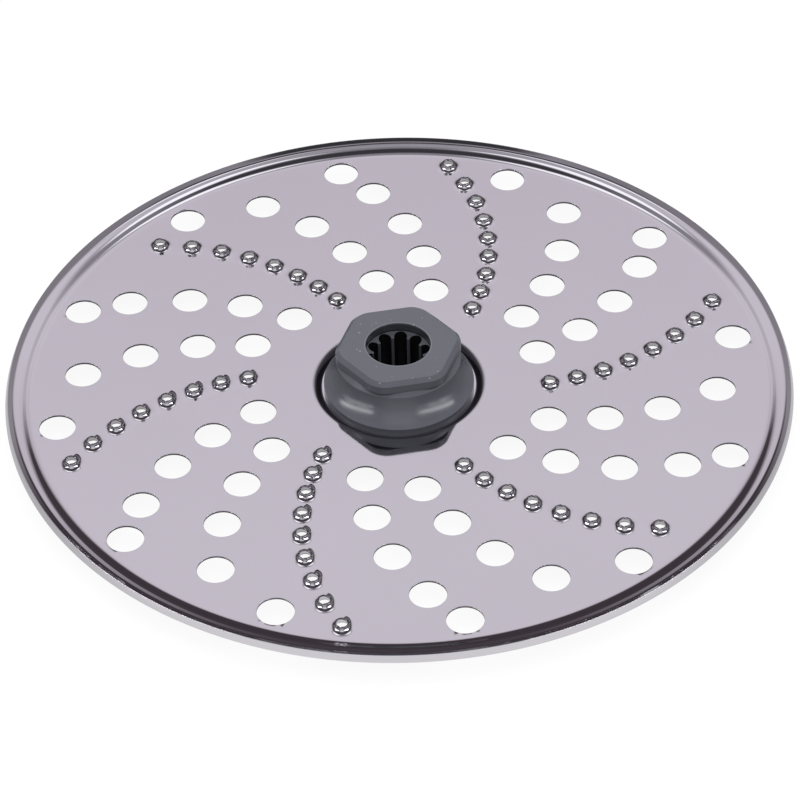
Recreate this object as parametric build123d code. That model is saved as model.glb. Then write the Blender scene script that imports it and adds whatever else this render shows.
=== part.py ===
from build123d import *

import os
from math import acos, cos, degrees, radians, sin

# Grating disc for a food processor: a pressed stainless disc with burst grating teeth and
# passage holes on curved rows, moulded into a plastic hub with a ribbed drive socket.
# Millimetres. The Z axis is the axis the disc turns on, and Z = 0 is the hub's foot.
# Angles run counter-clockwise from +X, seen from above.

# Sheet disc
disc_diameter = 174.0
sheet_thickness = 0.5
plate_height = 8.0

# Raised rim bead, from the flat of the plate outwards
rim_width = 4.9
rim_wall_run = 1.45
rim_wall_rise = 1.26
rim_crown_run = 1.95
rim_crown_rise = 0.61
rim_edge_drop = 1.1
rim_root_bend = 1.6
rim_shoulder_bend = 1.2
rim_ridge_bend = 0.6
rim_edge_bend = 1.0

# Sunk seat at the centre of the disc
seat_depth = 1.2
seat_margin = 0.6
seat_wall_run = 1.4
seat_bend = 0.6

# Curved rows that carry the holes and the teeth
sector_count = 6
row_turn = 128.3
row_step = 20.0
row_arc_radius = 57.9
row_axis_gap = 1.0

# Passage holes
hole_diameter = 8.0
hole_first_radius = 32.3
hole_pitch = 11.7
rim_hole_margin = 6.1
rim_hole_gap = 5.0

# Burst grating teeth
tooth_first_radius = 29.4
tooth_pitch = 6.0
tooth_tracks = 3
tooth_rim_margin = 4.1
tooth_base_diameter = 4.2
tooth_waist_diameter = 3.2
tooth_waist_height = 0.4
tooth_tip_diameter = 3.3
tooth_height = 1.45
tooth_bore_diameter = 2.6
tooth_notch_width = 1.0
tooth_notch_floor = 0.5
tooth_notch_turn = 75.0

# Hub above the seat
hub_rise = 10.9
skirt_radius = 16.6
skirt_edge_height = 1.7
skirt_edge_chamfer = 0.6
shoulder_radius = 13.8
shoulder_chamfer = 0.4
grip_height = 2.7
grip_turn = 130.0
grip_apothem = 12.8
grip_corner_round = 5.0
grip_edge_chamfer = 0.9

# Hub through and under the sheet
key_apothem = 10.5
key_corner_round = 1.5
flange_thickness = 2.2
foot_radius = 12.5

# Ribbed drive socket, open right through the hub
socket_radius = 7.2
socket_mouth_depth = 2.3
socket_groove_inset = 0.1
rib_count = 10
rib_turn = 102.0
rib_tip_radius = 5.45
rib_tip_width = 0.9
rib_top_drop = 0.55

# Levels and radii that follow from the sizes above
disc_radius = disc_diameter / 2
flat_radius = disc_radius - rim_width
seat_top = plate_height - seat_depth
seat_underside = seat_top - sheet_thickness
seat_floor_radius = skirt_radius + seat_margin
seat_rim_radius = seat_floor_radius + seat_wall_run
hub_top = plate_height + hub_rise
ledge_height = hub_top - grip_height
row_centre = row_arc_radius + row_axis_gap
rim_hole_radius = flat_radius - rim_hole_margin
hole_field_radius = rim_hole_radius - rim_hole_gap
tooth_field_radius = flat_radius - tooth_rim_margin
sector_angle = 360 / sector_count


def row_place(radius, row_angle):
    """Point of a curved row at a given distance from the axis."""
    reach = (radius**2 + row_centre**2 - row_arc_radius**2) / (2 * radius * row_centre)
    angle = radians(row_angle - degrees(acos(reach)))
    return Pos(radius * cos(angle), radius * sin(angle), plate_height)


def radii_between(first, pitch, last):
    """Distances from the axis, a pitch apart, that stay within the field."""
    count = int((last - first) // pitch) + 1
    return [first + index * pitch for index in range(count)]


def rounded_hexagon(apothem, corner_round):
    """Six-sided outline with rounded corners."""
    outline = RegularPolygon(apothem, 6, major_radius=False, rotation=grip_turn)
    return fillet(outline.vertices(), corner_round)


def sheet_section():
    """Half section of the pressed sheet, from the axis out to the end of the rim's skirt."""
    wall_end_radius = flat_radius + rim_wall_run
    wall_end_height = plate_height + rim_wall_rise
    ridge_radius = wall_end_radius + rim_crown_run
    ridge_height = wall_end_height + rim_crown_rise
    upper = FilletPolyline(
        (socket_radius, seat_top),
        (seat_floor_radius, seat_top),
        (seat_rim_radius, plate_height),
        (flat_radius, plate_height),
        (wall_end_radius, wall_end_height),
        (ridge_radius, ridge_height),
        (disc_radius, ridge_height - rim_edge_drop),
        (disc_radius, plate_height),
        radius=[
            seat_bend,
            seat_bend + sheet_thickness,
            rim_root_bend,
            rim_shoulder_bend,
            rim_ridge_bend,
            rim_edge_bend,
        ],
    )
    return make_face(offset(upper, sheet_thickness, side=Side.RIGHT))


def tooth_blank():
    """Solid form of one tooth, rooted in the sheet."""
    outline = Polyline(
        (0, -sheet_thickness / 2),
        (tooth_base_diameter / 2, -sheet_thickness / 2),
        (tooth_base_diameter / 2, 0),
        (tooth_waist_diameter / 2, tooth_waist_height),
        (tooth_tip_diameter / 2, tooth_height),
        (0, tooth_height),
        close=True,
    )
    return revolve(Plane.XZ * make_face(outline), Axis.Z)


def tooth_piercing():
    """What the pierced bore and the four tears take out of one tooth."""
    tear_outline = Polyline(
        (0, tooth_notch_floor),
        (tooth_notch_width, 2 * tooth_height - tooth_notch_floor),
        (-tooth_notch_width, 2 * tooth_height - tooth_notch_floor),
        close=True,
    )
    bore = Cylinder(tooth_bore_diameter / 2, 4 * tooth_height)
    tear = extrude(Plane.XZ * make_face(tear_outline), tooth_base_diameter, both=True)
    return Rot(0, 0, tooth_notch_turn) * (bore + tear + Rot(0, 0, 90) * tear)


def tooth_places():
    """Teeth on one curved arm in each sector, stepped so that their tracks interleave."""
    places = []
    for sector in range(sector_count):
        first = tooth_first_radius + sector % tooth_tracks * tooth_pitch / tooth_tracks
        arm_angle = row_turn + sector * sector_angle
        places += [row_place(r, arm_angle) for r in radii_between(first, tooth_pitch, tooth_field_radius)]
    return places


def hole_places():
    """Two curved rows of holes in each sector, and a ring of holes inside the rim."""
    places = []
    for sector in range(sector_count):
        near_row = row_turn + sector * sector_angle + row_step
        far_row = near_row + row_step
        near_radii = radii_between(hole_first_radius, hole_pitch, hole_field_radius)
        far_radii = radii_between(hole_first_radius + hole_pitch / 4, hole_pitch, hole_field_radius)
        places += [row_place(r, near_row) for r in near_radii]
        places += [row_place(r, far_row) for r in far_radii]
        places += [row_place(rim_hole_radius, near_row)]
        places += [row_place(rim_hole_radius, far_row + row_step / 2)]
    return places


def grating_disc():
    """Pressed disc: bead and seat turned as one section, then the teeth and the holes."""
    disc = revolve(Plane.XZ * sheet_section(), Axis.Z)
    blank = tooth_blank()
    disc += [place * blank for place in tooth_places()]
    piercing = tooth_piercing()
    punch = Cylinder(hole_diameter / 2, 4 * sheet_thickness)
    key = Pos(0, 0, seat_underside) * extrude(rounded_hexagon(key_apothem, key_corner_round), sheet_thickness)
    tools = [place * piercing for place in tooth_places()]
    tools += [place * punch for place in hole_places()]
    return disc - tools - key


def socket_outline():
    """Outline of the socket between its mouths: round grooves with narrow ribs between them."""
    rib_angle = 360 / rib_count
    tip_angle = degrees(rib_tip_width / rib_tip_radius) / 2
    groove_radius = socket_radius - socket_groove_inset
    edges = []
    for rib in range(rib_count):
        turn = rib_turn + rib * rib_angle
        tip_start = PolarLine((0, 0), rib_tip_radius, turn - tip_angle) @ 1
        tip_middle = PolarLine((0, 0), rib_tip_radius, turn) @ 1
        tip_end = PolarLine((0, 0), rib_tip_radius, turn + tip_angle) @ 1
        groove_middle = PolarLine((0, 0), groove_radius, turn + rib_angle / 2) @ 1
        groove_end = PolarLine((0, 0), rib_tip_radius, turn + rib_angle - tip_angle) @ 1
        edges += [ThreePointArc(tip_start, tip_middle, tip_end)]
        edges += [ThreePointArc(tip_end, groove_middle, groove_end)]
    return make_face(edges)


def socket_mouth():
    """Plain round mouth with a cone that leads down on to the rib ends."""
    outline = Polyline(
        (0, -socket_mouth_depth - rib_top_drop),
        (rib_tip_radius, -socket_mouth_depth - rib_top_drop),
        (socket_radius, -socket_mouth_depth),
        (socket_radius, 0),
        (0, 0),
        close=True,
    )
    return revolve(Plane.XZ * make_face(outline), Axis.Z)


def drive_hub():
    """Moulded hub: flared skirt, six-sided grip, key through the sheet, flange and foot."""
    edge_top = seat_top + skirt_edge_height
    flare_start = (skirt_radius - skirt_edge_chamfer, edge_top + skirt_edge_chamfer)
    flare_end = (shoulder_radius, ledge_height - shoulder_chamfer)
    skirt_line = Polyline(
        (shoulder_radius - shoulder_chamfer, ledge_height),
        (0, ledge_height),
        (0, seat_top),
        (skirt_radius, seat_top),
        (skirt_radius, edge_top),
        flare_start,
    )
    flare = TangentArc(flare_end, flare_start, tangent=(0, -1))
    shoulder = Line(flare_end, (shoulder_radius - shoulder_chamfer, ledge_height))
    hub = revolve(Plane.XZ * make_face(skirt_line + flare + shoulder), Axis.Z)
    grip = Pos(0, 0, ledge_height) * extrude(rounded_hexagon(grip_apothem, grip_corner_round), grip_height)
    grip = chamfer(grip.faces().sort_by(Axis.Z)[-1].edges(), grip_edge_chamfer)
    key = Pos(0, 0, seat_underside) * extrude(rounded_hexagon(key_apothem, key_corner_round), sheet_thickness)
    flange = Pos(0, 0, seat_underside - flange_thickness) * extrude(Circle(skirt_radius), flange_thickness)
    foot = extrude(Circle(foot_radius), seat_underside - flange_thickness)
    hub += [grip, key, flange, foot]
    mouth = socket_mouth()
    hub -= [extrude(socket_outline(), hub_top), Pos(0, 0, hub_top) * mouth, Rot(180, 0, 0) * mouth]
    return hub


os.makedirs("parts", exist_ok=True)
export_step(grating_disc(), "parts/grating_disc.step")
export_step(drive_hub(), "parts/drive_hub.step")
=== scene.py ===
# %% [markdown]
# A grating disc for a food processor, dressed for its portrait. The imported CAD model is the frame: it
# gives the sizes, and nothing in it is moved. Both of its pieces are mirror-bright or glossy, and a
# mirror shows every flat facet, so this lesson models them again with smooth curves in the same place.

# %% Load the frame
import math
import random

import bmesh
import bpy
from mathutils import Matrix, Vector


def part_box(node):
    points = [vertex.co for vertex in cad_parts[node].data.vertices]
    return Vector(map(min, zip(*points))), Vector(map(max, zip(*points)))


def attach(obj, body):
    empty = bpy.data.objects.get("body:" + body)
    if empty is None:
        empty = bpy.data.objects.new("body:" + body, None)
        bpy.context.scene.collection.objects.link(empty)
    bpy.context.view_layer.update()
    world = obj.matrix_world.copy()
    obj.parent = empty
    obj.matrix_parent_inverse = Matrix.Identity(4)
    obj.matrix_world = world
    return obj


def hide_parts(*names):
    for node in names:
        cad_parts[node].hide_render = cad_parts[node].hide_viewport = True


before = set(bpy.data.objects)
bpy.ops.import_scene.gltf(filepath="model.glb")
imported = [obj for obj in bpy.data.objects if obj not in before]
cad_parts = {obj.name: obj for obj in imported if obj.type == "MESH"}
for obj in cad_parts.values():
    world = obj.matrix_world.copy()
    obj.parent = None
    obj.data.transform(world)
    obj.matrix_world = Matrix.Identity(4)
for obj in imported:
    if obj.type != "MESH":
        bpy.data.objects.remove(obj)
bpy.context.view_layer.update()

MM = 0.001
disc_low, disc_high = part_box("grating_disc")
hub_low, hub_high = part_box("drive_hub")
print("disc", tuple(disc_high - disc_low), "hub", tuple(hub_high - hub_low))

# %% [markdown]
# The sheet lies at one level all over, and every other height is told from it. The hub's top is the
# highest point of the frame, and the hub stands a known way above the sheet, so the level follows.

# %% Levels
disc_radius = (disc_high.x - disc_low.x) / 2
hub_top = hub_high.z
hub_rise = 10.9 * MM
plate_top = hub_top - hub_rise
sheet_thickness = 0.5 * MM
seat_depth = 1.2 * MM
seat_top = plate_top - seat_depth
seat_underside = seat_top - sheet_thickness
print("the sheet's upper face lies at", plate_top / MM, "mm")

# %% [markdown]
# Pressed and turned things have a section that goes round an axis. A section can be drawn as a few
# corners joined by edges. Bevelling a corner rounds it, as a press tool's radius does, and a spin
# carries the line round the axis.

# %% Draw and spin a section
LEVEL_GAP = 1e-6


def chain(bm, points):
    """Joins points of a section, each a radius and a height, with straight edges."""
    corners = [bm.verts.new((radius, 0, height)) for radius, height in points]
    for start, end in zip(corners, corners[1:]):
        bm.edges.new((start, end))
    return corners


def soften(bm, corner, radius, steps=6):
    """Rounds one corner of a chain to a radius."""
    one, two = (edge.other_vert(corner).co - corner.co for edge in corner.link_edges)
    reach = radius / math.tan(one.angle(two) / 2)
    bmesh.ops.bevel(bm, geom=[corner], offset=reach, offset_type="ABSOLUTE", segments=steps,
                    profile=0.5, affect="VERTICES", material=-1)


def turn_round(bm, steps):
    """Spins all that is drawn into a closed ring about the upright axis."""
    bmesh.ops.spin(bm, geom=bm.verts[:] + bm.edges[:], cent=(0, 0, 0), axis=(0, 0, 1),
                   dvec=(0, 0, 0), angle=math.tau, steps=steps, use_merge=True)
    bmesh.ops.remove_doubles(bm, verts=bm.verts, dist=LEVEL_GAP)


print("points closer than", LEVEL_GAP / MM, "mm count as one")

# %% [markdown]
# Separate rings become one skin when the flats between them are filled. Each flat lies at one height,
# so a fill only has to find the open loops at that height. The hub's key and grip are six-sided, with
# their corners rounded by the same bevel as before.

# %% Join, fill and bridge
hexagon_turn = math.radians(40)


def append(bm, part):
    """Adds a finished part to a larger piece and frees it."""
    carrier = bpy.data.meshes.new("carrier")
    part.to_mesh(carrier)
    part.free()
    bm.from_mesh(carrier)
    bpy.data.meshes.remove(carrier)


def open_at(edge, height):
    """Whether an edge is open and lies flat at a height."""
    flat = all(abs(vert.co.z - height) < LEVEL_GAP for vert in edge.verts)
    return flat and len(edge.link_faces) < 2


def fill_level(bm, height, within):
    """Fills the flat between all the open loops at one height that lie within a radius."""
    reach = within + LEVEL_GAP
    loops = [edge for edge in bm.edges if open_at(edge, height) and edge.verts[0].co.xy.length < reach]
    bmesh.ops.triangle_fill(bm, edges=loops, use_beauty=True, normal=(0, 0, 1))


def bridge_levels(bm, low, high):
    """Joins the open loop at one height to the open loop at another."""
    loops = [edge for edge in bm.edges if open_at(edge, low) or open_at(edge, high)]
    bmesh.ops.bridge_loops(bm, edges=loops)


def hexagon(bm, apothem, corner_round, height, steps=8):
    """A six-sided loop with rounded corners."""
    corner_radius = apothem / math.cos(math.pi / 6)
    turn = Matrix.Rotation(hexagon_turn, 4, "Z")
    loop = bmesh.ops.create_circle(bm, radius=corner_radius, segments=6,
                                   matrix=Matrix.Translation((0, 0, height)) @ turn)["verts"]
    reach = corner_round * math.tan(math.pi / 6)
    bmesh.ops.bevel(bm, geom=loop, offset=reach, offset_type="ABSOLUTE", segments=steps,
                    profile=0.5, affect="VERTICES", material=-1)


print("the six-sided forms are turned by", math.degrees(hexagon_turn), "degrees")

# %% [markdown]
# The teeth and the holes stand on curved rows. Each row is an arc of one circle that nearly passes
# through the axis, so a place on it is known from its distance to the axis alone.

# %% A curved row
row_arc_radius = 57.9 * MM
row_axis_gap = 1.0 * MM
row_centre = row_arc_radius + row_axis_gap


def row_place(radius, row_angle):
    """The place on a curved row at a distance from the axis."""
    reach = (radius**2 + row_centre**2 - row_arc_radius**2) / (2 * radius * row_centre)
    angle = math.radians(row_angle) - math.acos(reach)
    return Vector((radius * math.cos(angle), radius * math.sin(angle), plate_top))


def radii_between(first, pitch, last):
    """Distances from the axis, a pitch apart."""
    return [first + index * pitch for index in range(int((last - first) // pitch) + 1)]


print("the rows bend to a radius of", row_arc_radius / MM, "mm")

# %% [markdown]
# Six sectors hold one arm of teeth and two rows of holes each, with a few more holes inside the rim. The
# arms are stepped so that their tracks interleave, and no strip of food slips past between the teeth.

# %% The pattern
row_turn = 128.3
row_step = 20.0
sector_count = 6
sector_angle = 360 / sector_count
hole_radius = 4.0 * MM
hole_pitch = 11.7 * MM
hole_first = 32.3 * MM
rim_hole_place = disc_radius - 11.0 * MM
hole_last = rim_hole_place - 5 * MM
tooth_pitch = 6.0 * MM
tooth_first = 29.4 * MM
tooth_last = disc_radius - 9.0 * MM
tooth_tracks = 3

hole_places = []
tooth_arms = []
for sector in range(sector_count):
    arm = row_turn + sector * sector_angle
    near_row, far_row = arm + row_step, arm + 2 * row_step
    far_first = hole_first + hole_pitch / 4
    hole_places += [row_place(r, near_row) for r in radii_between(hole_first, hole_pitch, hole_last)]
    hole_places += [row_place(r, far_row) for r in radii_between(far_first, hole_pitch, hole_last)]
    hole_places += [row_place(rim_hole_place, near_row), row_place(rim_hole_place, far_row + row_step / 2)]
    first = tooth_first + sector % tooth_tracks * tooth_pitch / tooth_tracks
    tooth_arms.append([row_place(r, arm) for r in radii_between(first, tooth_pitch, tooth_last)])
print(len(hole_places), "holes and", sum(map(len, tooth_arms)), "teeth")

# %% [markdown]
# Shader maths reads best as sums. This small class wraps a socket: an operator on it adds a Math node,
# and the tree's node method adds any other node from its type, its settings and its inputs.


# %% Sums on sockets
class Wire:
    """An output socket that takes part in Python sums."""

    def __init__(self, tree, socket):
        self.tree = tree
        self.socket = socket

    def maths(self, operation, *others, flip=False):
        """Adds a Math node on this socket and other values."""
        values = [self, *others]
        return self.tree.node("ShaderNodeMath", {"operation": operation}, values[::-1] if flip else values)

    def __add__(self, other):
        return self.maths("ADD", other)

    def __radd__(self, other):
        return self.maths("ADD", other)

    def __sub__(self, other):
        return self.maths("SUBTRACT", other)

    def __rsub__(self, other):
        return self.maths("SUBTRACT", other, flip=True)

    def __mul__(self, other):
        return self.maths("MULTIPLY", other)

    def __rmul__(self, other):
        return self.maths("MULTIPLY", other)

    def __truediv__(self, other):
        return self.maths("DIVIDE", other)


class Tree:
    """A node tree that starts empty."""

    def __init__(self, owner):
        owner.use_nodes = True
        self.nodes = owner.node_tree.nodes
        self.links = owner.node_tree.links
        self.nodes.clear()

    def node(self, kind, settings=None, inputs=(), output=0):
        """Adds a node: its settings come first, then its inputs by name or in order."""
        made = self.nodes.new(kind)
        for name, value in (settings or {}).items():
            if name == "stops":
                set_stops(made.color_ramp, value)
            else:
                setattr(made, name, value)
        named = inputs.items() if isinstance(inputs, dict) else enumerate(inputs)
        for name, value in named:
            if isinstance(value, Wire):
                self.links.new(value.socket, made.inputs[name])
            else:
                made.inputs[name].default_value = value
        return Wire(self, made.outputs[output]) if made.outputs else made


def set_stops(ramp, stops):
    """Gives a colour ramp its stops, each a place and a colour."""
    while len(ramp.elements) < len(stops):
        ramp.elements.new(0.5)
    for element, (place, colour) in zip(ramp.elements, stops):
        element.position = place
        element.color = (*colour, 1)


print("sockets can be added, subtracted, multiplied and divided")

# %% [markdown]
# Masks say where on a piece a finish changes. Most of them rise from 0 to 1 over a short distance, or
# rise and fall again, and they read a height or a distance from the axis in millimetres.


# %% Masks and mixes
def ramp_between(tree, value, low, high):
    """0 below low and 1 above high, with a soft change between them."""
    return tree.node("ShaderNodeMapRange", {"interpolation_type": "SMOOTHSTEP"},
                     {"Value": value, "From Min": low, "From Max": high})


def band_between(tree, value, rise, fall):
    """1 between a rise and a fall, each with a start and an end, and 0 outside them."""
    return ramp_between(tree, value, *rise) * (1 - ramp_between(tree, value, *fall))


def blend(tree, share, one, other):
    """Mixes a share of the other colour into one colour."""
    return tree.node("ShaderNodeMix", {"data_type": "RGBA"},
                     {"Factor": share, "A": one, "B": other}, output=2)


def upright_part(tree, vector):
    """How far a place or a direction reaches upwards."""
    return tree.node("ShaderNodeSeparateXYZ", inputs=[vector], output="Z")


def distance_from_axis(tree, place):
    """How far a place lies from the axis that the disc turns on."""
    across = tree.node("ShaderNodeVectorMath", {"operation": "MULTIPLY"}, [place, (1, 1, 0)])
    return tree.node("ShaderNodeVectorMath", {"operation": "LENGTH"}, [across], output="Value")


print("masks and mixes are ready")

# %% [markdown]
# The disc is stainless sheet, polished like a mirror. A mirror's colour is mostly what it reflects, so
# the base colour is the metal's own pale grey. Polishing leaves it a little wavy, which a faint bump
# shows in the reflections. Sheared hole walls and torn tooth tips are duller than the rolled face. The
# feet of the teeth and the groove round the hub have painted shade: their colour is darkened to stand
# in for the shadow and the dark reflections in these hollows.

# %% Polished steel
flat_radius = disc_radius - 6.5 * MM


def polished_steel():
    """The disc's finish, with its masks in millimetres."""
    material = bpy.data.materials.new("polished_steel")
    tree = Tree(material)
    place = tree.node("ShaderNodeTexCoord", output="Object")
    above_sheet = (upright_part(tree, place) - plate_top) / MM
    from_axis = distance_from_axis(tree, place) / MM
    upward = upright_part(tree, tree.node("ShaderNodeTexCoord", output="Normal"))
    cloud = tree.node("ShaderNodeTexNoise", inputs={"Vector": place, "Scale": 38.0, "Detail": 3.0})
    grain = tree.node("ShaderNodeTexNoise", inputs={"Vector": place, "Scale": 2600.0, "Detail": 2.0})
    flat_end = flat_radius / MM
    inside_rim = 1 - ramp_between(tree, from_axis, flat_end + 1.2, flat_end + 1.6)
    outside_seat = ramp_between(tree, from_axis, 19.0, 19.4)
    sheared = band_between(tree, above_sheet, (-0.46, -0.42), (-0.09, -0.05)) * inside_rim * outside_seat
    torn = ramp_between(tree, above_sheet, 0.7, 0.9) * inside_rim * ramp_between(tree, upward, 0.05, 0.45)
    dull = sheared.maths("MAXIMUM", torn * 0.75)
    # painted shade: the feet of the teeth and the groove round the hub are darkened in the colour
    tooth_foot = band_between(tree, above_sheet, (0.06, 0.2), (0.26, 0.42)) * inside_rim
    groove = band_between(tree, from_axis, (17.15, 17.5), (18.5, 19.4))
    painted_shade = (tooth_foot * 0.8).maths("MAXIMUM", groove * 0.8)
    clean = blend(tree, cloud, (0.585, 0.565, 0.6, 1), (0.56, 0.545, 0.575, 1))
    worn = blend(tree, dull, clean, (0.08, 0.077, 0.087, 1))
    colour = blend(tree, painted_shade, worn, (0.02, 0.016, 0.022, 1))
    roughness = 0.045 + grain * 0.03 + dull * 0.22
    wave = tree.node("ShaderNodeBump", inputs={"Strength": 0.05, "Distance": 0.4 * MM, "Height": cloud})
    shader = tree.node("ShaderNodeBsdfPrincipled",
                       inputs={"Base Color": colour, "Metallic": 1.0, "Roughness": roughness,
                               "Normal": wave})
    tree.node("ShaderNodeOutputMaterial", inputs=[shader])
    return material


steel = polished_steel()
print("made", steel.name)

# %% [markdown]
# The hub is glossy grey plastic with a trace of blue. Moulded plastic is never quite even: the colour
# drifts a little, the polish of the tool is slightly uneven, and small pale nicks collect on the faces
# that hands touch. The deep socket is darkened, because little light finds its way back out of it.


# %% Grey plastic
def grey_plastic():
    """The hub's finish, with its masks in millimetres."""
    material = bpy.data.materials.new("grey_plastic")
    tree = Tree(material)
    place = tree.node("ShaderNodeTexCoord", output="Object")
    over_top = (upright_part(tree, place) - hub_top) / MM
    from_axis = distance_from_axis(tree, place) / MM
    facing = upright_part(tree, tree.node("ShaderNodeTexCoord", output="Normal"))
    upward = ramp_between(tree, facing, 0.4, 0.8)
    cloud = tree.node("ShaderNodeTexNoise", inputs={"Vector": place, "Scale": 120.0, "Detail": 3.0})
    fine = tree.node("ShaderNodeTexNoise", inputs={"Vector": place, "Scale": 900.0, "Detail": 4.0})
    cells = tree.node("ShaderNodeTexVoronoi", inputs={"Vector": place, "Scale": 700.0}, output="Distance")
    spread = tree.node("ShaderNodeTexNoise", inputs={"Vector": place, "Scale": 260.0, "Detail": 1.0})
    top_face = ramp_between(tree, over_top, -0.5, -0.3)
    nicks = (1 - ramp_between(tree, cells, 0.12, 0.25)) * ramp_between(tree, spread, 0.5, 0.58) * top_face
    inside = 1 - ramp_between(tree, from_axis, 7.3, 7.4)
    behind_tips = 0.35 + 0.65 * ramp_between(tree, from_axis, 5.5, 5.9)
    past_mouth = 1 - ramp_between(tree, over_top, -2.3, -1.7)
    gloom = inside * (1 - top_face) * behind_tips * (1 - 0.6 * upward) * (0.6 + 0.4 * past_mouth)
    # painted highlight: a thin pale ring round the socket's mouth stands in for the light its rounded edge
    # catches
    mouth_highlight = band_between(tree, from_axis, (7.1, 7.2), (7.35, 7.5))
    mouth_highlight = mouth_highlight * ramp_between(tree, over_top, -0.25, -0.1)
    even = blend(tree, cloud, (0.115, 0.12, 0.14, 1), (0.135, 0.14, 0.16, 1))
    # the pale colour serves both the real nicks and the painted highlight on the mouth's edge
    nicks_and_highlight = blend(tree, nicks * 0.45 + mouth_highlight * 0.25, even, (0.42, 0.43, 0.45, 1))
    colour = blend(tree, gloom, nicks_and_highlight, (0.006, 0.006, 0.007, 1))
    roughness = 0.16 + fine * 0.1 + nicks * 0.2
    relief = fine * 0.25 + nicks * 0.5
    skin = tree.node("ShaderNodeBump", inputs={"Strength": 0.08, "Distance": 0.1 * MM, "Height": relief})
    shader = tree.node("ShaderNodeBsdfPrincipled",
                       inputs={"Base Color": colour, "Roughness": roughness, "IOR": 1.5, "Normal": skin})
    tree.node("ShaderNodeOutputMaterial", inputs=[shader])
    return material


plastic = grey_plastic()
print("made", plastic.name)

# %% [markdown]
# A finished bmesh becomes an object the same way each time: its normals are turned outwards, its faces
# are smooth, it rides on the one body of the part and it stands for its CAD node.


# %% Hand over a piece
def make_piece(name, bm, material, node):
    """Makes an object of a bmesh, on the part's body and in place of a CAD node."""
    bmesh.ops.remove_doubles(bm, verts=bm.verts, dist=LEVEL_GAP)
    bmesh.ops.recalc_face_normals(bm, faces=bm.faces)
    mesh = bpy.data.meshes.new(name)
    bm.to_mesh(mesh)
    bm.free()
    mesh.shade_smooth()
    mesh.materials.append(material)
    piece = bpy.data.objects.new(name, mesh)
    bpy.context.scene.collection.objects.link(piece)
    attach(piece, "root")
    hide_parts(node)
    return piece


print("pieces ride on the body root")

# %% [markdown]
# The rim is pressed up out of the sheet: a small step, a land that rises gently outwards, an edge
# turned up to a ridge, and a slanted skirt back down to the sheet's level. It is a section that goes
# round, so it is a chain with rounded corners, spun. One corner on the straight flank has no bend: it
# keeps the smooth shading of the ridge from spreading down the flank. Only the upper face is drawn,
# because the sheet gets its thickness at the end, all over at once.

# %% Rim
rim_segments = 256
rim_corners = [  # mm in from the disc's edge, mm above the sheet, and the bend's radius in mm
    (5.1, 0.03, 4),
    (3.45, 0.64, 5),
    (1.8, 0.88, 2),
    (0.78, 1.509, 0),
    (0.6, 1.62, 0.1),
]


def rim_part():
    """The upper face of the rim, from the flat of the sheet to the foot of the skirt."""
    bm = bmesh.new()
    points = [(disc_radius - inset * MM, plate_top + rise * MM) for inset, rise, bend in rim_corners]
    corners = chain(bm, [(flat_radius, plate_top), *points, (disc_radius, plate_top)])
    for corner, (inset, rise, bend) in zip(corners[1:], rim_corners):
        if bend:
            soften(bm, corner, bend * MM)
    turn_round(bm, rim_segments)
    return bm


rim = rim_part()
print("the rim has", len(rim.faces), "faces")

# %% [markdown]
# The seat is a shallow pressed step that the hub sits in, with a six-sided opening for the hub's key.
# Its step is a spun chain like the rim, and a fill closes the floor round the opening.

# %% Seat
seat_floor_radius = 17.2 * MM
seat_wall_run = 1.4 * MM
seat_margin = 3 * MM
seat_inner_bend = 0.6 * MM
seat_outer_bend = 1.1 * MM
seat_segments = 128
key_apothem = 10.5 * MM
key_corner = 1.5 * MM


def seat_part():
    """The upper face of the sunk seat."""
    bm = bmesh.new()
    corners = chain(bm, [
        (seat_floor_radius - seat_margin, seat_top),
        (seat_floor_radius, seat_top),
        (seat_floor_radius + seat_wall_run, plate_top),
        (seat_floor_radius + seat_margin, plate_top),
    ])
    soften(bm, corners[1], seat_inner_bend)
    soften(bm, corners[2], seat_outer_bend)
    turn_round(bm, seat_segments)
    hexagon(bm, key_apothem, key_corner, seat_top)
    fill_level(bm, seat_top, seat_floor_radius)
    return bm


seat = seat_part()
print("the seat has", len(seat.faces), "faces")

# %% [markdown]
# A tooth is made by a pin driven through the sheet from below: the metal stretches up in a short tube
# with a flared foot and bursts into four ragged petals. It is a spun section too. Then its vertices are
# moved: four tears pull the lip down, each petal leans a little its own way, and a few petals bend far
# out as burrs.

# %% One burst tooth
tooth_height = 1.36 * MM
tooth_section = [
    (2.95 * MM, 0),
    (2.4 * MM, 0.035 * MM),
    (2.13 * MM, 0.08 * MM),
    (1.88 * MM, 0.16 * MM),
    (1.76 * MM, 0.23 * MM),
    (1.53 * MM, 0.64 * MM),
    (1.48 * MM, 1.0 * MM),
    (1.46 * MM, 1.18 * MM),
    (1.54 * MM, tooth_height),
]
tooth_bend = 0.3 * MM
bend_steps = (2, 2, 3)
tooth_segments = 36
tear_floor = 0.95 * MM
tear_half_width = math.radians(15)
tear_turns = [math.radians(turn) for turn in (75, 165, 255, 345)]


def angle_gap(one, two):
    """The smaller angle between two directions."""
    return abs((one - two + math.pi) % math.tau - math.pi)


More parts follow.
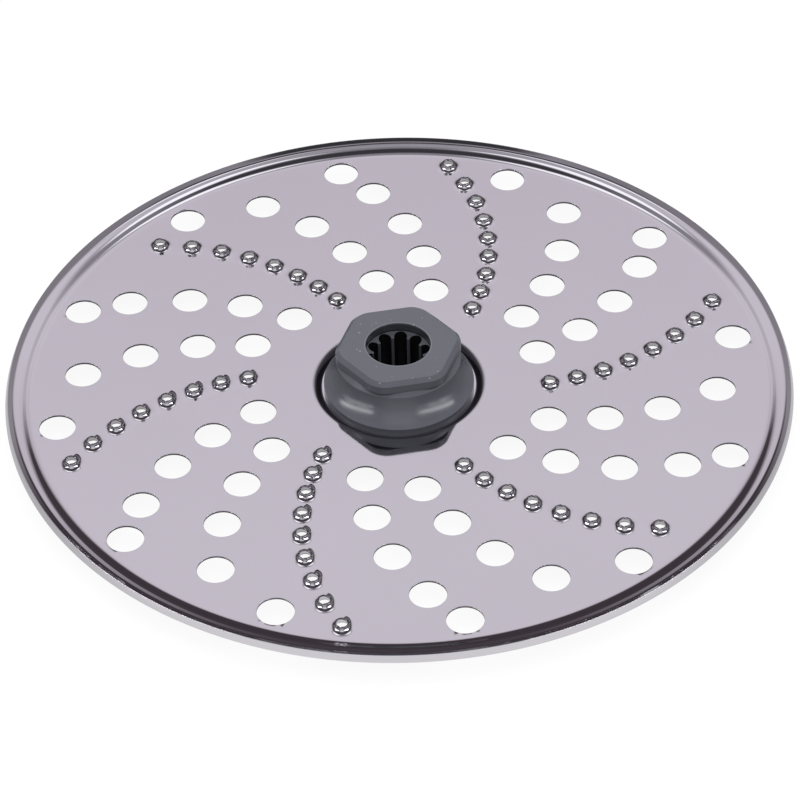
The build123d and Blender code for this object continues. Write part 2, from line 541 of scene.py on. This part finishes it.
def tooth_part(place, luck, burr):
    """One tooth at a place, torn by luck, with one petal bent out by a burr."""
    bm = bmesh.new()
    corners = chain(bm, tooth_section)
    for corner, steps in zip(corners[3:], bend_steps):
        soften(bm, corner, tooth_bend, steps)
    turn_round(bm, tooth_segments)
    turn = luck.uniform(-0.12, 0.12)
    leans = [luck.uniform(-0.06, 0.12) * MM for _ in tear_turns]
    lifts = [luck.uniform(0.75, 1.0) for _ in tear_turns]
    leans[3] += burr
    for vert in bm.verts:
        height = vert.co.z
        if height <= tear_floor:
            continue
        angle = math.atan2(vert.co.y, vert.co.x) - turn
        petal = min(range(4), key=lambda index: angle_gap(angle, tear_turns[index] + math.pi / 4))
        tear = max(0.0, 1 - min(angle_gap(angle, tear_turn) for tear_turn in tear_turns) / tear_half_width)
        share = (height - tear_floor) / (tooth_height - tear_floor)
        ragged = luck.uniform(0.86, 1.0)
        raised = tear_floor + (height - tear_floor) * lifts[petal] * ragged * (1 - tear)
        outwards = 1 + leans[petal] * share**2 * (1 - tear) / vert.co.xy.length
        vert.co = (vert.co.x * outwards, vert.co.y * outwards, raised)
    bmesh.ops.translate(bm, verts=bm.verts, vec=place)
    return bm


print("a tooth stands", tooth_height / MM, "mm above the sheet")

# %% [markdown]
# The flat of the sheet is what is left between the rim, the seat, the holes and the teeth. Each of them
# is an open loop at the same level, and one triangle fill closes the whole flat between them. The open
# edges are marked first, because they are the ones that a punch shears.

# %% Draw the disc's face
tear_seed = 616
burr_sectors = (2, 3)
hole_segments = 44


def disc_face():
    """The whole upper face of the disc, with its sheared edges marked."""
    bm = bmesh.new()
    append(bm, rim)
    append(bm, seat)
    luck = random.Random(tear_seed)
    for sector, arm in enumerate(tooth_arms):
        for place in arm:
            burr = luck.uniform(0.3, 0.65) * MM if sector in burr_sectors else 0
            append(bm, tooth_part(place, luck, burr))
    for place in hole_places:
        bmesh.ops.create_circle(bm, radius=hole_radius, segments=hole_segments,
                                matrix=Matrix.Translation(place))
    weights = bm.edges.layers.float.new("bevel_weight_edge")
    for edge in bm.edges:
        edge[weights] = 0.0 if edge.link_faces else 1.0
    fill_level(bm, plate_top, flat_radius)
    return bm


disc = make_piece("grating_disc_sheet", disc_face(), steel, "grating_disc")
print("the disc's sheet has", len(disc.data.polygons), "faces before its thickness")

# %% [markdown]
# A Solidify modifier gives the sheet its thickness, less of it in the stretched petals, and a Bevel
# softens the sheared edges of the holes. Weighted normals keep the mirror flat right up to every edge.

# %% Give the disc its thickness
petal_thinning = 0.3


def thicken(sheet):
    """Adds the modifiers that turn the drawn face into a sheet."""
    group = sheet.vertex_groups.new(name="thickness")
    for vertex in sheet.data.vertices:
        drawn = (vertex.co.z - plate_top) / tooth_height if vertex.co.xy.length < flat_radius + MM else 0
        group.add([vertex.index], 1 - petal_thinning * max(0.0, min(1.0, 2 * drawn)), "REPLACE")
    wall = sheet.modifiers.new("sheet", "SOLIDIFY")
    wall.thickness = sheet_thickness
    wall.offset = -1
    wall.vertex_group = group.name
    edge = sheet.modifiers.new("sheared edges", "BEVEL")
    edge.limit_method = "WEIGHT"
    edge.width = 0.06 * MM
    edge.segments = 2
    sheet.modifiers.new("flat normals", "WEIGHTED_NORMAL")


thicken(disc)
print("the sheet is", sheet_thickness / MM, "mm thick")

# %% [markdown]
# The hub is one moulding: a foot and a flange under the sheet, a six-sided key through it, a flared
# skirt and a six-sided grip above it. The round stretches are spun chains. The flare is an arc, drawn by
# spinning one vertex about the centre of its bend.

# %% Skirt, flange and foot
skirt_radius = 16.6 * MM
skirt_edge_height = 1.7 * MM
skirt_edge_chamfer = 0.6 * MM
shoulder_radius = 13.8 * MM
shoulder_drop = 0.9 * MM
ledge_height = hub_top - 2.7 * MM
ledge_inset = 0.2 * MM
flare_steps = 14
hub_segments = 144
grip_apothem = 12.8 * MM
foot_radius = 12.5 * MM
flange_low = seat_underside - 2.2 * MM
socket_radius = 7.2 * MM


def skirt_part():
    """The round skin from the sheet up to the ledge under the grip."""
    bm = bmesh.new()
    edge_top = seat_top + skirt_edge_height
    flare_top = (shoulder_radius, ledge_height - shoulder_drop)
    flare_foot = (skirt_radius - skirt_edge_chamfer, edge_top + skirt_edge_chamfer)
    chain(bm, [(skirt_radius, seat_top), (skirt_radius, edge_top), flare_foot])
    chain(bm, [flare_top, (grip_apothem - ledge_inset, ledge_height)])
    run, drop = flare_foot[0] - flare_top[0], flare_top[1] - flare_foot[1]
    bend = (run**2 + drop**2) / (2 * run)
    centre = Vector((shoulder_radius + bend, 0, flare_top[1]))
    start = bm.verts.new((flare_top[0], 0, flare_top[1]))
    bmesh.ops.spin(bm, geom=[start], cent=centre, axis=(0, -1, 0), dvec=(0, 0, 0),
                   angle=math.asin(drop / bend), steps=flare_steps)
    bmesh.ops.remove_doubles(bm, verts=bm.verts, dist=LEVEL_GAP)
    turn_round(bm, hub_segments)
    return bm


def foot_part():
    """The round skin under the sheet, from the socket out to the flange."""
    bm = bmesh.new()
    chain(bm, [(socket_radius, 0), (foot_radius, 0), (foot_radius, flange_low), (skirt_radius, flange_low),
               (skirt_radius, seat_underside)])
    turn_round(bm, hub_segments)
    return bm


skirt, foot = skirt_part(), foot_part()
print("the skirt has", len(skirt.faces), "faces and the foot", len(foot.faces))

# %% [markdown]
# The socket drives the disc: ten ribs stand in from its wall, with round grooves between them. One rib
# tip and one groove are drawn by spinning a vertex along an arc, turned on ten times, and the outline is
# extruded down the hub. The rib ends slope, because the tool that forms the plain mouth ends in a cone.

# %% Ribbed socket
groove_radius = socket_radius - 0.1 * MM
mouth_depth = 2.3 * MM
rib_count = 10
rib_pitch = math.tau / rib_count
rib_turn = math.radians(102)
rib_tip_radius = 5.45 * MM
rib_tip_half = 0.3 * MM / rib_tip_radius
rib_top_drop = 0.55 * MM
rib_tip_steps = 3
groove_steps = 12
mouth_segments = 120


def around_axis(radius, angle):
    """A place on the ground plane, from its radius and its angle."""
    return (radius * math.cos(angle), radius * math.sin(angle), 0)


def socket_part():
    """The ribbed wall of the socket, from its upper mouth to its lower one."""
    bm = bmesh.new()
    half_groove = rib_pitch / 2 - rib_tip_half
    groove_depth = groove_radius - rib_tip_radius * math.cos(half_groove)
    reach = (groove_radius**2 - rib_tip_radius**2) / (2 * groove_depth)
    bend = groove_radius - reach
    sweep = math.pi - math.asin(rib_tip_radius * math.sin(half_groove) / bend)
    for rib in range(rib_count):
        turn = rib_turn + rib * rib_pitch
        start = bm.verts.new(around_axis(rib_tip_radius, turn - rib_tip_half))
        end = bmesh.ops.spin(bm, geom=[start], cent=(0, 0, 0), axis=(0, 0, 1), dvec=(0, 0, 0),
                             angle=2 * rib_tip_half, steps=rib_tip_steps)["geom_last"]
        bmesh.ops.spin(bm, geom=end, cent=around_axis(reach, turn + rib_pitch / 2), axis=(0, 0, 1),
                       dvec=(0, 0, 0), angle=2 * sweep, steps=groove_steps)
    bmesh.ops.remove_doubles(bm, verts=bm.verts, dist=LEVEL_GAP)
    for vert in bm.verts:
        inwards = (socket_radius - vert.co.xy.length) / (socket_radius - rib_tip_radius)
        vert.co.z = hub_top - mouth_depth - rib_top_drop * inwards
    walls = bmesh.ops.extrude_edge_only(bm, edges=bm.edges[:])["geom"]
    for vert in (item for item in walls if isinstance(item, bmesh.types.BMVert)):
        vert.co.z = hub_top - vert.co.z
    return bm


def mouth_part(rim_height, floor_height):
    """The plain round wall of one mouth."""
    bm = bmesh.new()
    chain(bm, [(socket_radius, rim_height), (socket_radius, floor_height)])
    turn_round(bm, mouth_segments)
    return bm


socket = socket_part()
print("the socket has", len(socket.faces), "faces")

# %% [markdown]
# The grip is what fingers hold to lift the disc out: a six-sided collar with rounded corners and a
# chamfered top. Three six-sided loops, one above the other, are bridged to make its sides.

# %% Grip
grip_corner = 5.0 * MM
grip_chamfer = 0.9 * MM


def grip_part():
    """The sides and the chamfer of the six-sided grip."""
    bm = bmesh.new()
    chamfer_foot = hub_top - grip_chamfer
    hexagon(bm, grip_apothem, grip_corner, ledge_height)
    hexagon(bm, grip_apothem, grip_corner, chamfer_foot)
    bridge_levels(bm, ledge_height, chamfer_foot)
    hexagon(bm, grip_apothem - grip_chamfer, grip_corner - grip_chamfer, hub_top)
    bridge_levels(bm, chamfer_foot, hub_top)
    return bm


grip = grip_part()
print("the grip has", len(grip.faces), "faces")

# %% [markdown]
# The hub's parts are joined from the sheet outwards, and a fill at each level closes the flat between
# them, so that the skin stays closed. The two rings of rib ends are the last openings. A Bevel then
# gives every sharp edge the small radius that a moulding has.


# %% Mould the hub
def hub_skin():
    """The closed skin of the hub."""
    bm = bmesh.new()
    append(bm, skirt)
    append(bm, foot)
    for height in (seat_top, seat_underside):
        hexagon(bm, key_apothem, key_corner, height)
    key = [edge for edge in bm.edges if not edge.link_faces]
    bmesh.ops.bridge_loops(bm, edges=key)
    fill_level(bm, seat_top, skirt_radius)
    fill_level(bm, seat_underside, skirt_radius)
    append(bm, grip)
    fill_level(bm, ledge_height, skirt_radius)
    append(bm, mouth_part(hub_top, hub_top - mouth_depth))
    append(bm, mouth_part(0, mouth_depth))
    fill_level(bm, hub_top, shoulder_radius)
    append(bm, socket)
    bmesh.ops.remove_doubles(bm, verts=bm.verts, dist=LEVEL_GAP)
    rib_ends = [edge for edge in bm.edges if edge.is_boundary]
    for upper in (True, False):
        loop = [edge for edge in rib_ends if (edge.verts[0].co.z > hub_top / 2) == upper]
        bmesh.ops.triangle_fill(bm, edges=loop, use_beauty=True, normal=(0, 0, 1))
    return bm


hub = make_piece("drive_hub_moulding", hub_skin(), plastic, "drive_hub")
moulded_edge = hub.modifiers.new("moulded edges", "BEVEL")
moulded_edge.limit_method = "ANGLE"
moulded_edge.angle_limit = math.radians(28)
moulded_edge.width = 0.28 * MM
moulded_edge.segments = 3
hub.modifiers.new("flat normals", "WEIGHTED_NORMAL")
print("the hub has", len(hub.data.polygons), "faces")

# %% [markdown]
# The floor is plain and pale. A mirror needs a bright floor to show through its holes, so the floor
# shows white to the camera, to reflections and through glass. In reflections it glows less behind the
# disc's front, as a painted shadow. A little of it is ordinary matt paint, and that part keeps the
# disc's soft shadow.


# %% Floor
def ray(tree, kind):
    """1 for rays of a kind, such as those that come straight from the camera."""
    return tree.node("ShaderNodeLightPath", output=kind)


def pale_floor():
    """A wide floor."""
    bm = bmesh.new()
    bmesh.ops.create_grid(bm, x_segments=1, y_segments=1, size=3.0)
    mesh = bpy.data.meshes.new("floor")
    bm.to_mesh(mesh)
    bm.free()
    material = bpy.data.materials.new("pale_floor")
    tree = Tree(material)
    mirrored = ray(tree, "Is Glossy Ray")
    seen = ray(tree, "Is Camera Ray").maths("MAXIMUM", mirrored)
    seen = seen.maths("MAXIMUM", ray(tree, "Is Transmission Ray"))
    place = tree.node("ShaderNodeTexCoord", output="Object")
    depth = tree.node("ShaderNodeSeparateXYZ", inputs=[place], output="Y")
    # painted shadow: seen in reflections, the floor behind the disc's front glows less
    shade = ramp_between(tree, depth, -0.09, -0.03) * mirrored
    glow = tree.node("ShaderNodeEmission", inputs={"Strength": seen * (0.9 - 0.35 * shade)})
    paint = tree.node("ShaderNodeBsdfDiffuse", inputs={"Color": (0.14, 0.14, 0.14, 1)})
    both = tree.node("ShaderNodeAddShader", inputs=[glow, paint])
    tree.node("ShaderNodeOutputMaterial", inputs=[both])
    mesh.materials.append(material)
    floor = bpy.data.objects.new("floor", mesh)
    bpy.context.scene.collection.objects.link(floor)


pale_floor()
print("laid the floor")

# %% [markdown]
# The studio is what the steel shows. Behind the disc stands a tall pale panel, which the flat of the
# sheet mirrors. Overhead it is mostly dark, so pressed edges and teeth get their dark outlines, with two
# grey bands that keep the sheet from going black when it is seen from above. The ramp runs over the top
# of the studio, from the far horizon at 0 to the near horizon at 1. The sides have a ramp of their own.

# %% Panels of the studio
over_stops = [
    (0.0, (0.06, 0.05, 0.06)),
    (0.16, (0.08, 0.065, 0.075)),
    (0.2, (0.82, 0.77, 0.84)),
    (0.24, (0.93, 0.89, 0.965)),
    (0.27, (0.93, 0.89, 0.965)),
    (0.31, (0.4, 0.38, 0.42)),
    (0.36, (0.34, 0.33, 0.36)),
    (0.4, (0.06, 0.055, 0.065)),
    (0.44, (0.06, 0.055, 0.065)),
    (0.455, (0.42, 0.4, 0.44)),
    (0.52, (0.42, 0.4, 0.44)),
    (0.537, (0.05, 0.05, 0.055)),
    (0.655, (0.05, 0.05, 0.055)),
    (0.68, (0.36, 0.35, 0.38)),
    (0.75, (0.36, 0.35, 0.38)),
    (0.82, (1.0, 1.0, 1.02)),
    (1.0, (1.0, 1.0, 1.01)),
]
side_stops = [
    (0.0, (0.42, 0.4, 0.43)),
    (0.3, (0.42, 0.4, 0.43)),
    (0.45, (0.37, 0.35, 0.38)),
    (1.0, (0.3, 0.28, 0.31)),
]
print(len(over_stops), "stops run over the studio and", len(side_stops), "up its sides")

# %% [markdown]
# Small bright things in a studio give metal its sparkle. Two low, wide boxes stand at the sides and put a
# bright spot on each side of a tooth's wall. Two dimmer patches hang higher at the sides, and two strips
# behind the disc put white glints on the far rim.

# %% Softboxes
softboxes = [  # degrees round from behind, half width, low edge and high edge, then how bright it is
    (-111, 27, 2, 10, 1.0),
    (122, 28, 2, 10, 1.0),
    (-92, 10, 43, 50, 0.16),
    (92, 10, 43, 50, 0.16),
    (-17.5, 10.5, 54, 64, 0.17),
    (17.5, 10.5, 54, 64, 0.17),
]
side_softness = 2
level_softness = 0.02


def softbox(around, height, turn, half_width, low, high, bright):
    """A soft-edged bright patch of the studio. A turn of 0 is behind the disc, and 90 is to its right."""
    tree = around.tree
    reach = (around - math.radians(turn)).maths("ABSOLUTE")
    start, end = math.radians(half_width - side_softness), math.radians(half_width + side_softness)
    across = 1 - ramp_between(tree, reach, start, end)
    low, high = math.sin(math.radians(low)), math.sin(math.radians(high))
    upright = band_between(tree, height, (low - level_softness, low + level_softness),
                           (high - level_softness, high + level_softness))
    return across * upright * bright


print(len(softboxes), "softboxes light the steel")

# %% [markdown]
# The world joins these. Reflections see the panels and the softboxes, the camera sees plain white, and
# everything else is lit by a soft sky that is brighter overhead.


# %% Studio
def studio():
    """The world: the mirrored room, the white background and the soft sky."""
    world = bpy.data.worlds.new("studio")
    bpy.context.scene.world = world
    tree = Tree(world)
    direction = tree.node("ShaderNodeTexCoord", output="Generated")
    right, back, height = [tree.node("ShaderNodeSeparateXYZ", inputs=[direction], output=axis)
                           for axis in "XYZ"]
    over = height.maths("ARCTAN2", back) / math.pi
    around = right.maths("ARCTAN2", back)
    sideways = ramp_between(tree, right.maths("ABSOLUTE"), 0.28, 0.5)
    middle = tree.node("ShaderNodeValToRGB", {"stops": over_stops}, [over])
    sides = tree.node("ShaderNodeValToRGB", {"stops": side_stops}, [height])
    panels = blend(tree, sideways, middle, sides)
    boxes = sum(softbox(around, height, *box) for box in softboxes)
    mirrored_room = blend(tree, boxes, panels, (8.0, 8.0, 8.1, 1))
    seen = ray(tree, "Is Camera Ray").maths("MAXIMUM", ray(tree, "Is Transmission Ray"))
    sky = blend(tree, ramp_between(tree, height, 0.1, 0.9), (0.2, 0.2, 0.21, 1), (1.0, 1.0, 1.04, 1))
    plain = blend(tree, seen, sky, (1, 1, 1, 1))
    colour = blend(tree, ray(tree, "Is Glossy Ray"), plain, mirrored_room)
    light = tree.node("ShaderNodeBackground", inputs={"Color": colour, "Strength": 1.0})
    tree.node("ShaderNodeOutputWorld", inputs=[light])


studio()
print("set up the studio")

# %% [markdown]
# A sky alone would leave the hub flat. One large lamp above the disc, tipped towards the front, shades
# its forms. It is hidden from reflections, because the steel already has its studio to mirror.

# %% Key light
lamp_height = 0.9
lamp_tilt = math.radians(25)


def key_light():
    """A large soft lamp above and in front, which gives the hub its form."""
    lamp = bpy.data.lights.new("key", "AREA")
    lamp.size = 0.5
    lamp.energy = 2.0
    box = bpy.data.objects.new("key", lamp)
    box.matrix_world = Matrix.Rotation(lamp_tilt, 4, "X") @ Matrix.Translation((0, 0, lamp_height))
    box.visible_glossy = False
    bpy.context.scene.collection.objects.link(box)


key_light()
print("lit the key lamp")

# %% [markdown]
# The camera stands in front of the disc and looks down on it. Its lens is long, so the disc's ellipse
# hardly narrows. A small roll and shift frame it as in the photograph.

# %% Camera
view_elevation = math.radians(41.27)
view_distance = 825.4 * MM
view_roll = -0.02418
photo_size = 800
centre_x, centre_y = 398.99, 381.48


def portrait_camera():
    """The camera at the photograph's viewing angle."""
    data = bpy.data.cameras.new("camera")
    data.sensor_width = 36
    data.lens = 167.8
    data.shift_x = (photo_size / 2 - centre_x) / photo_size
    data.shift_y = (centre_y - photo_size / 2) / photo_size
    camera = bpy.data.objects.new("camera", data)
    back = Vector((0, -math.cos(view_elevation), math.sin(view_elevation)))
    place = Matrix.Translation(Vector((0, 0, plate_top)) + back * view_distance)
    tilt = Matrix.Rotation(math.pi / 2 - view_elevation, 4, "X")
    roll = Matrix.Rotation(view_roll, 4, "Z")
    camera.matrix_world = place @ tilt @ roll
    bpy.context.scene.collection.objects.link(camera)
    bpy.context.scene.camera = camera


portrait_camera()
bpy.context.scene.view_settings.view_transform = "Standard"
print("placed the camera")
